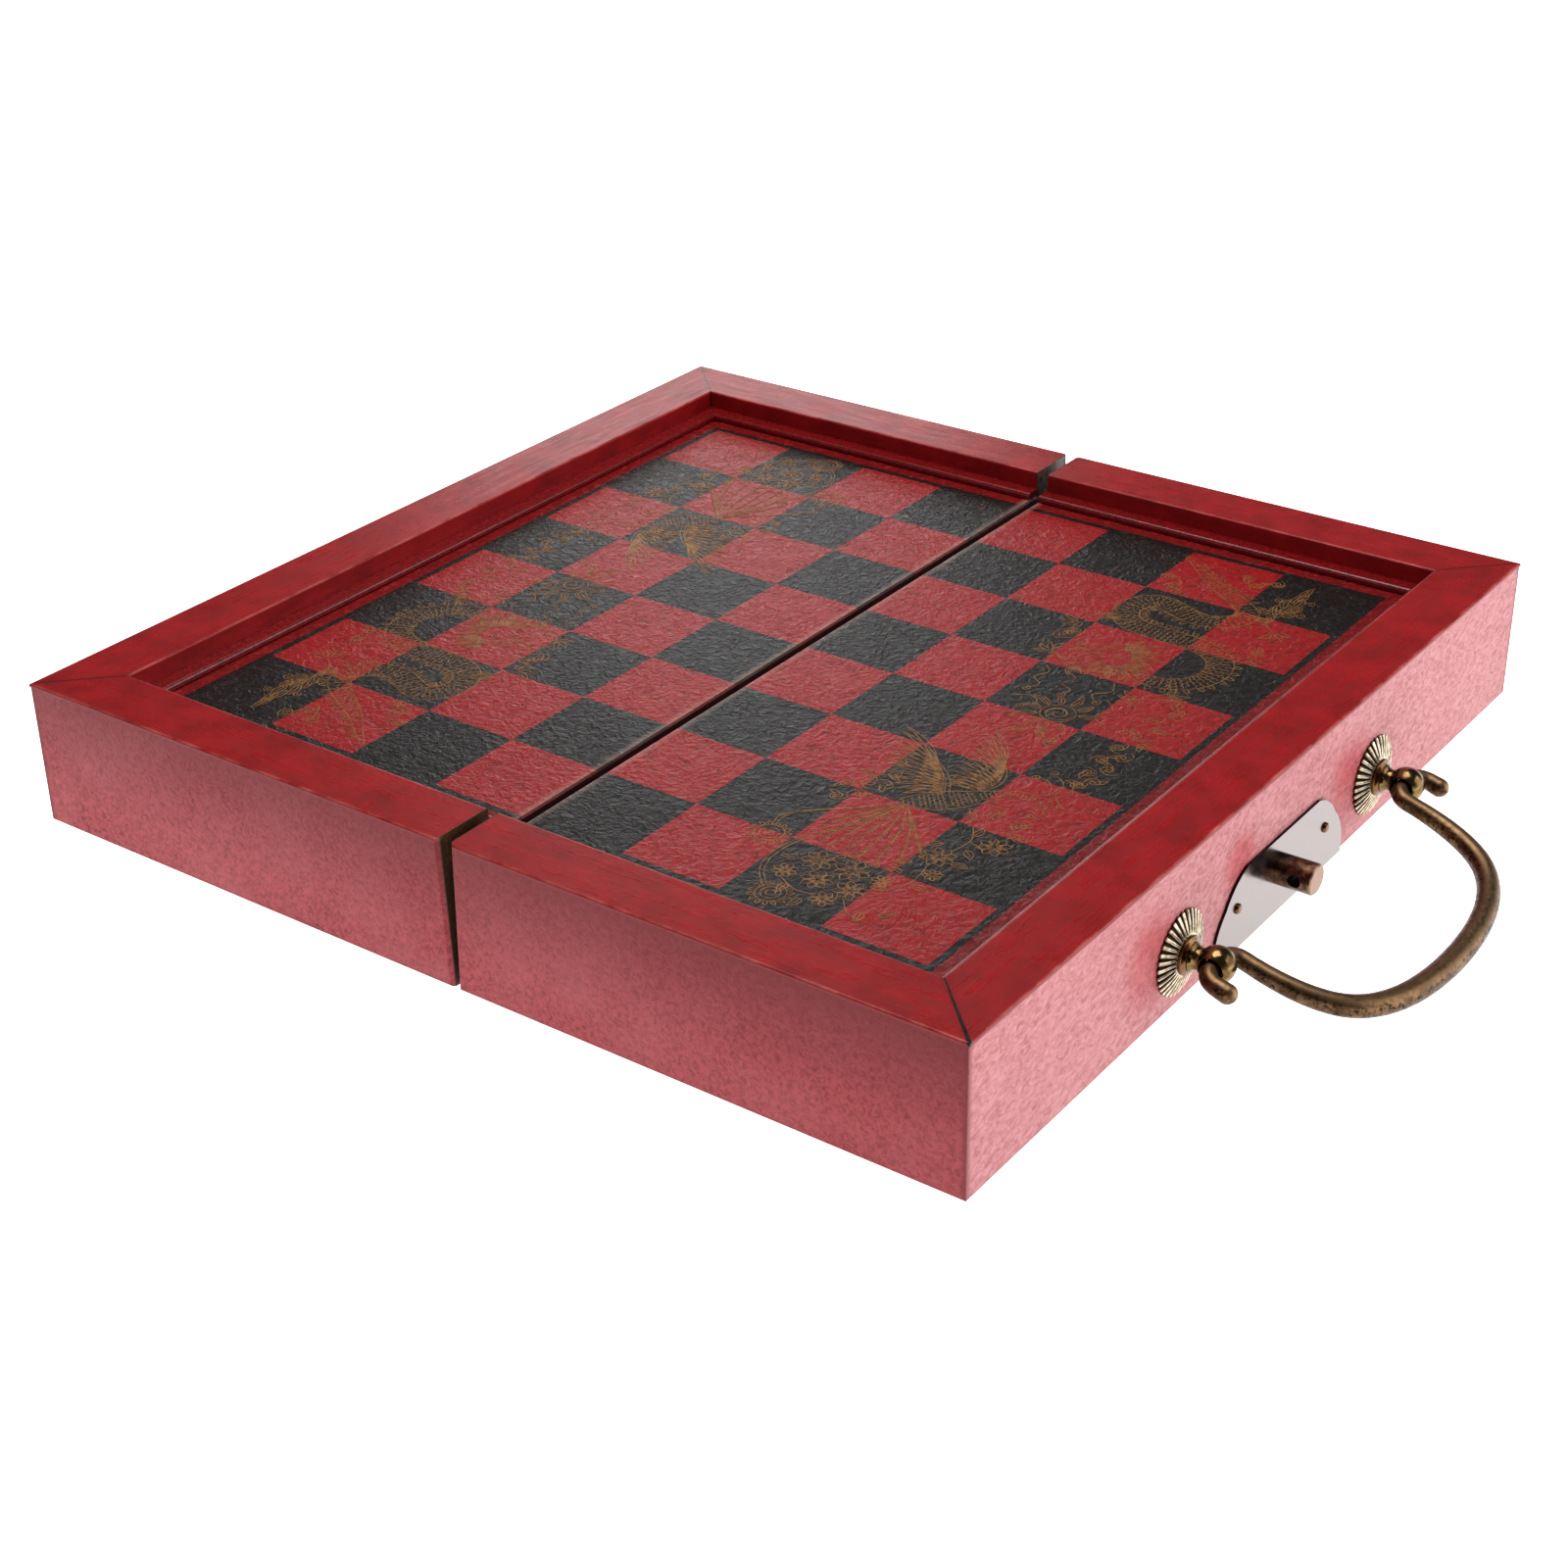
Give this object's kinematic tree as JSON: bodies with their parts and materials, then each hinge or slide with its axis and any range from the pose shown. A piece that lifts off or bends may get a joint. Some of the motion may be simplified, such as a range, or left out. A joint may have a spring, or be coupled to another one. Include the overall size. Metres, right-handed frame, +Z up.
{
  "type": "folding chess case",
  "caption": "Square folding game case lying open with its chessboard on top: two hinged trays with a raised rim, a drooping bail handle on round fluted plates, and a hasp latch.",
  "frame": {"origin": "middle of the fold line between the two trays, on the plane of their undersides", "axes": "+X across the fold towards the tray with the handle, +Y along the fold line, +Z up out of the board"},
  "size_m": [0.301, 0.2516, 0.0369],
  "materials": {
    "rim_cover": "red leatherette, worn satin",
    "bead": "red leatherette",
    "side_cover": "matt red book cloth over fibreboard",
    "bare_wood": "bare brown fibreboard",
    "board_core": "bare fibreboard",
    "playing_surface": "embossed leatherette, red and black squares with a thin gold line print",
    "lining": "dark red flocked cloth",
    "divider": "red painted fibreboard",
    "hinge_brass": "antique",
    "fixings": "brass plated",
    "polished_plate": "polished nickel",
    "antique_brass": "antique brass, darkened in the hollows",
    "bail_bronze": "dark antique bronze, rubbed"
  },
  "bodies": {
    "right_tray": {"bead_back_right": "bead", "bead_end_right": "bead", "bead_front_right": "bead", "board_panel_right": "board_core", "divider_cross_1_right": "divider", "divider_cross_2_right": "divider", "divider_cross_3_right": "divider", "divider_long_right": "divider", "eye_nuts": "fixings", "eye_post_back": "antique_brass", "eye_post_front": "antique_brass", "hinge_leaf_back_right": "hinge_brass", "hinge_leaf_front_right": "hinge_brass", "hinge_pin_back": "hinge_brass", "hinge_pin_front": "hinge_brass", "hinge_screws_right": "fixings", "hinge_wall_right": "bare_wood", "latch_nails": "antique_brass", "latch_plate": "polished_plate", "latch_post": "antique_brass", "playing_surface_right": "playing_surface", "rim_back_right": "rim_cover", "rim_end_right": "rim_cover", "rim_front_right": "rim_cover", "rosette_back": "antique_brass", "rosette_front": "antique_brass", "tray_lining_right": "lining", "wall_back_right": "side_cover", "wall_end_right": "side_cover", "wall_front_right": "side_cover"},
    "left_tray": {"bead_back_left": "bead", "bead_end_left": "bead", "bead_front_left": "bead", "board_panel_left": "board_core", "divider_cross_1_left": "divider", "divider_cross_2_left": "divider", "divider_cross_3_left": "divider", "divider_long_left": "divider", "hinge_leaf_back_left": "hinge_brass", "hinge_leaf_front_left": "hinge_brass", "hinge_screws_left": "fixings", "hinge_wall_left": "bare_wood", "playing_surface_left": "playing_surface", "rim_back_left": "rim_cover", "rim_end_left": "rim_cover", "rim_front_left": "rim_cover", "tray_lining_left": "lining", "wall_back_left": "side_cover", "wall_end_left": "side_cover", "wall_front_left": "side_cover", "hasp_plate": "polished_plate", "hasp_pin": "antique_brass", "hasp_nails": "antique_brass"},
    "bail": {"bail_handle": "bail_bronze"},
    "hasp": {"hasp": "polished_plate"}
  },
  "joints": [
    {"name": "fold", "type": "hinge", "parent": "right_tray", "child": "left_tray", "pos_m": [0, 0, 0], "axis": [0, -1, 0], "range_deg": [0, 180]},
    {"name": "bail_swing", "type": "hinge", "parent": "right_tray", "child": "bail", "pos_m": [0.1351, 0, 0.0129], "axis": [0, -1, 0], "range_deg": [-76, 120]},
    {"name": "hasp_swing", "type": "hinge", "parent": "left_tray", "child": "hasp", "pos_m": [-0.1288, 0, 0.0042], "axis": [0, -1, 0], "range_deg": [0, 180]}
  ]
}
